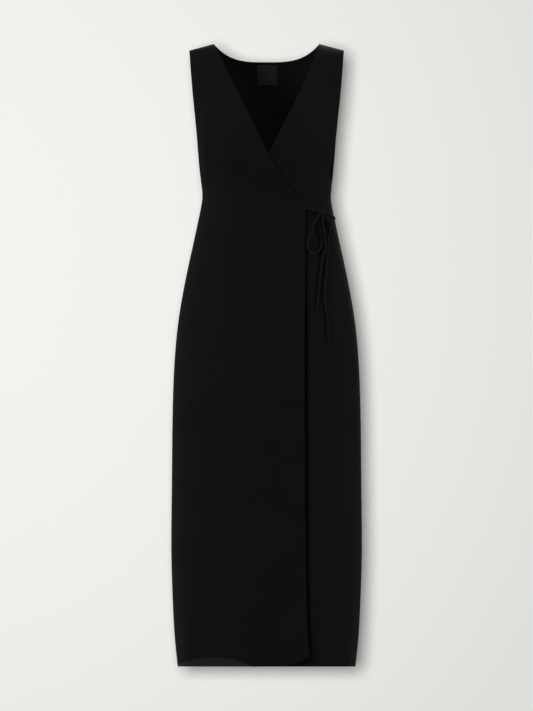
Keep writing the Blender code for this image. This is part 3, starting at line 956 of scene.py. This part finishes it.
def bar_tack(line, start, foot):
    """Close stitches over the end of a tie, from one side of it to the other."""
    normal = np.array(on_cloth(*np.multiply(foot, MM))[1])
    along = line[start + 1] - line[start]
    along = along / np.linalg.norm(along)
    aside = np.cross(normal, along)
    aside = aside / np.linalg.norm(aside)
    top = line[start] + normal * (TIE / 2)
    stitches = []
    for row in TACK.rows:
        spot = top + along * row * TACK.pitch
        angles = np.linspace(-TACK.angle, TACK.angle, TACK.points)
        stitches.append(np.array([spot + aside * sin(angle) * (TIE / 2 + THREAD / 4)
                                  + normal * ((cos(angle) - 1) * TIE / 2 + THREAD / 4)
                                  for angle in angles]))
    return stitches


tack_lines = (bar_tack(wrap_line, start=2, foot=(85, 360, 0))
              + bar_tack(side_line, start=3, foot=(147, 380, 0)))
tacks = tube("tie_bar_tacks", tack_lines, THREAD, bevel=1)

# %% [markdown]
# ## Materials
#
# A finish changes over a surface as the real one does, by sums of patterns, and shader sums read
# best as sums. A small class wraps a node's socket and turns +, - and * into Math nodes.


# %% A wrapped socket
class Value:
    """A number that varies over a surface, held as the socket of a shader node."""

    def __init__(self, finish, socket):
        self.finish = finish
        self.socket = socket

    def sum(self, operation, first, second):
        return self.finish.node("ShaderNodeMath", {"operation": operation}, {0: first, 1: second})

    def __add__(self, other):
        return self.sum("ADD", self, other)

    def __sub__(self, other):
        return self.sum("SUBTRACT", self, other)

    def __rsub__(self, other):
        return self.sum("SUBTRACT", other, self)

    def __mul__(self, other):
        return self.sum("MULTIPLY", self, other)

    __radd__ = __add__
    __rmul__ = __mul__


print("a socket now takes +, - and *")

# %% [markdown]
# A second class holds a material, and one method of it adds any other kind of node. Colours go
# through Mix nodes, because a Math node would turn them grey.


# %% A material
class Finish:
    """A material that is built up from nodes."""

    def __init__(self, name, **sockets):
        self.material = bpy.data.materials.new(name)
        self.material.use_nodes = True
        self.tree = self.material.node_tree
        self.shader = self.tree.nodes["Principled BSDF"]
        for socket, value in sockets.items():
            self.shader.inputs[socket.replace("_", " ")].default_value = value

    def node(self, kind, settings=None, values=None, output=0):
        """Any other node, with its settings and its inputs, as one of its outputs."""
        node = self.tree.nodes.new(kind)
        for setting, value in (settings or {}).items():
            setattr(node, setting, value)
        for socket, value in (values or {}).items():
            if isinstance(value, Value):
                self.tree.links.new(value.socket, node.inputs[socket])
            else:
                node.inputs[socket].default_value = value
        return Value(self, node.outputs[output])

    def feed(self, socket, value):
        self.tree.links.new(value.socket, self.shader.inputs[socket])

    def place(self, source="Object", scale=(1, 1, 1), turn=0.0):
        spot = self.node("ShaderNodeTexCoord", output=source)
        values = {"Vector": spot, "Scale": scale, "Rotation": (0, 0, turn)}
        return self.node("ShaderNodeMapping", values=values)

    def noise(self, spot, scale, detail=2.0, rough=0.5):
        return self.node("ShaderNodeTexNoise", {"noise_dimensions": "3D"},
                         {"Vector": spot, "Scale": scale, "Detail": detail, "Roughness": rough})

    def blend(self, share, first, second):
        """A colour between two colours, each a socket or three numbers."""
        first, second = (end if isinstance(end, Value) else (*end, 1) for end in (first, second))
        values = {0: share, 6: first, 7: second}
        return self.node("ShaderNodeMix", {"data_type": "RGBA"}, values, 2)

    def bump(self, height, distance, strength, under=None):
        values = {"Height": height, "Distance": distance, "Strength": strength}
        if under is not None:
            values["Normal"] = under
        return self.node("ShaderNodeBump", values=values)


print("ready to mix finishes")

# %% [markdown]
# ## Crepe
#
# Crepe is woven from hard-twisted yarn that shrinks into a fine pebbled grain with no lustre, so
# light scatters and black stays black, only a little paler where it is seen edge on. The grain is
# two noises at the size of the yarn, one drawn out along the warp and one along the weft, over a
# soft unevenness of some centimetres.

# %% Mix the crepe
STRETCH = 0.45
SKEW = radians(8)


def crepe_finish(name, yarn, dark, light, roughness, sheen, source):
    """Crepe of one yarn, with its grain laid along the UV map or along the object."""
    finish = Finish(name, Sheen_Weight=sheen, Sheen_Roughness=0.45, Specular_IOR_Level=0.12)
    along_warp = finish.place(source, (1.0, STRETCH, 1.0))
    along_weft = finish.place(source, (STRETCH, 1.0, 1.0), SKEW)
    warp = finish.noise(along_warp, scale=1 / yarn, detail=2.0, rough=0.6)
    weft = finish.noise(along_weft, scale=1 / yarn, detail=2.0, rough=0.6)
    cloud = finish.noise(finish.place("Object"), scale=14.0, detail=3.0, rough=0.55)
    pebble = (warp + weft) * 0.5
    finish.feed("Base Color", finish.blend(pebble * 0.55 + cloud * 0.45, dark, light))
    finish.feed("Roughness", roughness + 0.10 * (pebble - 0.5))
    drape = finish.bump(cloud, distance=1.2 * MM, strength=0.25)
    finish.feed("Normal", finish.bump(pebble, distance=0.12 * MM, strength=0.5, under=drape))
    return finish.material


crepe = crepe_finish("crepe", yarn=0.55 * MM, dark=(0.0060, 0.0059, 0.0066),
                     light=(0.0135, 0.0133, 0.0144), roughness=0.82, sheen=0.06, source="UV")
tie_crepe = crepe_finish("tie_crepe", yarn=0.5 * MM, dark=(0.0068, 0.0067, 0.0074),
                         light=(0.0152, 0.0150, 0.0160), roughness=0.68, sheen=0.10,
                         source="Object")
print("crepe and tie crepe")

# %% [markdown]
# ## Satin and thread
#
# The label is woven in satin, with long weft floats that shine in fine lines across it. Thread is
# the same black, twisted and a little glossier than the cloth.

# %% Mix the satin and the thread
satin_finish = Finish("label_satin", Sheen_Weight=0.05, Specular_IOR_Level=0.45)
floats = satin_finish.noise(satin_finish.place("UV", (0.08, 1.0, 1.0)), scale=4500.0)
patch = satin_finish.noise(satin_finish.place("Object"), scale=60.0)
satin_colour = satin_finish.blend(floats * 0.6 + patch * 0.4, (0.024, 0.024, 0.024),
                                  (0.045, 0.045, 0.046))
satin_finish.feed("Base Color", satin_colour)
satin_finish.feed("Roughness", 0.42 + 0.18 * floats)
satin_finish.feed("Normal", satin_finish.bump(floats, distance=0.05 * MM, strength=0.5))
label_satin = satin_finish.material

thread_finish = Finish("thread", Sheen_Weight=0.05, Specular_IOR_Level=0.3)
twist = thread_finish.noise(thread_finish.place("Object"), scale=4000.0, detail=1.0)
thread_colour = thread_finish.blend(twist, (0.007, 0.007, 0.008), (0.016, 0.016, 0.017))
thread_finish.feed("Base Color", thread_colour)
thread_finish.feed("Roughness", 0.55 + 0.1 * twist)
thread = thread_finish.material

for finish, pieces in ((crepe, (front_wrap, front_under, back)), (label_satin, (label,)),
                       (tie_crepe, (tie_wrap, tie_side, knot)),
                       (thread, (label_thread, hem_thread, tacks))):
    for piece in pieces:
        piece.data.materials.append(finish)
print("materials on ten pieces")

# %% [markdown]
# ## Floor and wall
#
# The dress hangs as it is worn, so the floor lies a little below the hem, out of view. A pale wall
# stands far enough behind it that there is room to walk round. Both are round sheets of paper that
# fade out towards their rims, so that no edge of them shows. Their colour carries painted shade:
# darker to the right, towards the rim, and towards the wall's foot and the floor's front.

# %% Make the floor and the wall
Paper = namedtuple("Paper", "name place turn radius fade grey glow")
FLOOR = Paper("floor", (0, 0, -1.66), 0.0, 2.4, 1.0, 0.50, 0.62)
WALL = Paper("wall", (0, 8.0, -0.68), pi / 2, 1.9, 1.05, 0.82, 0.125)
PAPER_TINT = (1.0, 1.0, 0.965)
# Painted shade on the paper: how far its colour swings, and its slopes to the right, along the
# sheet's local y and towards the rim.
PAPER_PAINTED_SHADE = Sizes(range=0.16, right=0.45, up=-0.11, rim=0.255)
PAPER_MARGIN = 0.05


def make_stage(sheet):
    """A round sheet of pale paper that fades at its rim, with painted shade in its colour."""
    bpy.ops.object.select_all(action="DESELECT")
    bpy.ops.mesh.primitive_circle_add(vertices=96, radius=sheet.radius, fill_type="NGON",
                                      location=sheet.place, rotation=(sheet.turn, 0, 0))
    thing = new_piece(sheet.name)
    paper = Finish(sheet.name + "_paper", Roughness=0.95, Specular_IOR_Level=0.0,
                   Emission_Strength=1.0)
    spot = paper.place("Object")
    right = paper.node("ShaderNodeSeparateXYZ", values={0: spot})
    up = paper.node("ShaderNodeSeparateXYZ", values={0: spot}, output=1)
    distance = paper.node("ShaderNodeVectorMath", {"operation": "LENGTH"}, {0: spot}, 1)
    # Painted shade: darker to the right, towards the sheet's local -y (the wall's foot, the floor's
    # front) and towards its rim.
    shade = (0.5 + PAPER_PAINTED_SHADE.right * right + PAPER_PAINTED_SHADE.up * up
             + PAPER_PAINTED_SHADE.rim * distance * distance)
    ends = [[sheet.grey * (1 + side * PAPER_PAINTED_SHADE.range) * part for part in PAPER_TINT]
            for side in (1, -1)]
    paper.feed("Base Color", paper.blend(shade, *ends))
    seen = paper.node("ShaderNodeLightPath")
    glow = [sheet.glow * part for part in PAPER_TINT]
    paper.feed("Emission Color", paper.blend(seen, (0, 0, 0), glow))
    rim = paper.node("ShaderNodeMapRange", {"interpolation_type": "SMOOTHSTEP"},
                     {"Value": distance, "From Min": sheet.fade,
                      "From Max": sheet.radius - PAPER_MARGIN, "To Min": 1.0, "To Max": 0.0})
    paper.feed("Alpha", rim)
    thing.data.materials.append(paper.material)
    return thing


floor, wall = make_stage(FLOOR), make_stage(WALL)
print(floor.name, "and", wall.name)

# %% [markdown]
# ## Light
#
# A studio is pale all round, but its walls give back little light. So the surroundings are bright
# where they are seen and dim where they light the dress.

# %% The surroundings
SURROUNDINGS = Sizes(seen=0.82, lit=0.023)
world = bpy.data.worlds.new("studio")
bpy.context.scene.world = world
world.use_nodes = True
nodes = world.node_tree.nodes
nodes["Background"].inputs["Color"].default_value = (1.0, 1.0, 0.995, 1)
path = nodes.new("ShaderNodeLightPath")
strength = nodes.new("ShaderNodeMapRange")
strength.inputs["To Min"].default_value = SURROUNDINGS.lit
strength.inputs["To Max"].default_value = SURROUNDINGS.seen
world.node_tree.links.new(path.outputs["Is Camera Ray"], strength.inputs["Value"])
world.node_tree.links.new(strength.outputs["Result"], nodes["Background"].inputs["Strength"])
bpy.context.scene.view_settings.view_transform = "Standard"
print("surroundings", SURROUNDINGS.seen, "seen,", SURROUNDINGS.lit, "as light")

# %% [markdown]
# Black cloth shows its form only where light grazes it. Two key lights stand far to the left, so
# the free edge throws a narrow shadow to its right and the inside of the back stays dark. Wide
# lamps at the sides, above and behind pick out the outline. A small lamp under the hem lights the
# back alone, as it shows under the lifted wrap. Places and sizes are in metres, power in watts.

# %% The lamps
LAMPS = table("name place size power", (
    ("key_wide", (-3.1, -3.2, 0.0), 2.4, 36),
    ("key", (-2.3, -3.8, 0.3), 1.9, 26),
    ("front", (0.0, -4.6, 0.6), 2.6, 5.0),
    ("top", (0.0, -0.6, 2.6), 2.0, 17),
    ("side_right", (3.6, -0.6, -0.4), 2.2, 33),
    ("side_left", (-3.2, 1.2, -0.4), 2.2, 10),
    ("behind", (0.6, 2.0, 1.2), 1.4, 24),
    ("under_hem", (-0.05, -0.12, -1.59), 0.3, 1.75),
))
LAMP_AIM = Vector((0, 0, -0.6))


def lit(name, thing, state="INCLUDE"):
    """A collection of one thing, for the lamps that light it alone or all but it."""
    collection = bpy.data.collections.new(name)
    collection.objects.link(thing)
    collection.collection_objects[0].light_linking.link_state = state
    return collection


def hang(light, place, aim, receiver):
    """Puts a lamp at a place, turned along a direction, to light one collection."""
    thing = bpy.data.objects.new(light.name, light)
    thing.location = place
    thing.rotation_euler = Vector(aim).to_track_quat("-Z", "Y").to_euler()
    thing.light_linking.receiver_collection = receiver
    bpy.context.collection.objects.link(thing)


not_wall = lit("not_wall", wall, "EXCLUDE")
only_back = lit("only_back", back)
for lamp in LAMPS:
    light = bpy.data.lights.new(lamp.name, "AREA")
    light.shape = "DISK"
    light.size = lamp.size
    light.energy = lamp.power
    receiver = only_back if lamp.name == "under_hem" else not_wall
    hang(light, lamp.place, LAMP_AIM - Vector(lamp.place), receiver)
print(len(LAMPS), "lamps")

# %% [markdown]
# The wall has a parallel light of its own, which lights nothing else. It comes nearly straight
# from the front, a little from the left and above, and throws the dress's shadow on the wall. Its
# angle is how far the shadow blurs.

# %% The wall's light
WALL_LIGHT = Sizes(right=14 * MM, down=9 * MM, blur=52 * MM, strength=2.70)
wall_light = bpy.data.lights.new("wall_light", "SUN")
wall_light.energy = WALL_LIGHT.strength
wall_light.angle = WALL_LIGHT.blur / WALL.place[1]
hang(wall_light, (0, -4, 0), (WALL_LIGHT.right, WALL.place[1], -WALL_LIGHT.down),
     lit("only_wall", wall))
print("the shadow falls", WALL_LIGHT.right, "m to the right")

# %% [markdown]
# ## Put each piece on the body
#
# Every piece rides on the one body of the dress and stands for the plain solid it covers,
# which is hidden.

for piece, slot, nodes_covered in (
        (front_wrap, "crepe", ["front_wrap"]),
        (front_under, "crepe", ["front_under"]),
        (back, "crepe", ["back"]),
        (label, "label_satin", ["neck_label"]),
        (tie_wrap, "tie_crepe", ["tie_wrap_lead", "tie_wrap_loop", "tie_wrap_tail"]),
        (tie_side, "tie_crepe", ["tie_side_lead", "tie_side_loop", "tie_side_tail"]),
        (knot, "tie_crepe", ["tie_knot"])):
    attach(piece, "root")
    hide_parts(*nodes_covered)

for piece in (label_thread, hem_thread, tacks):
    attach(piece, "root")
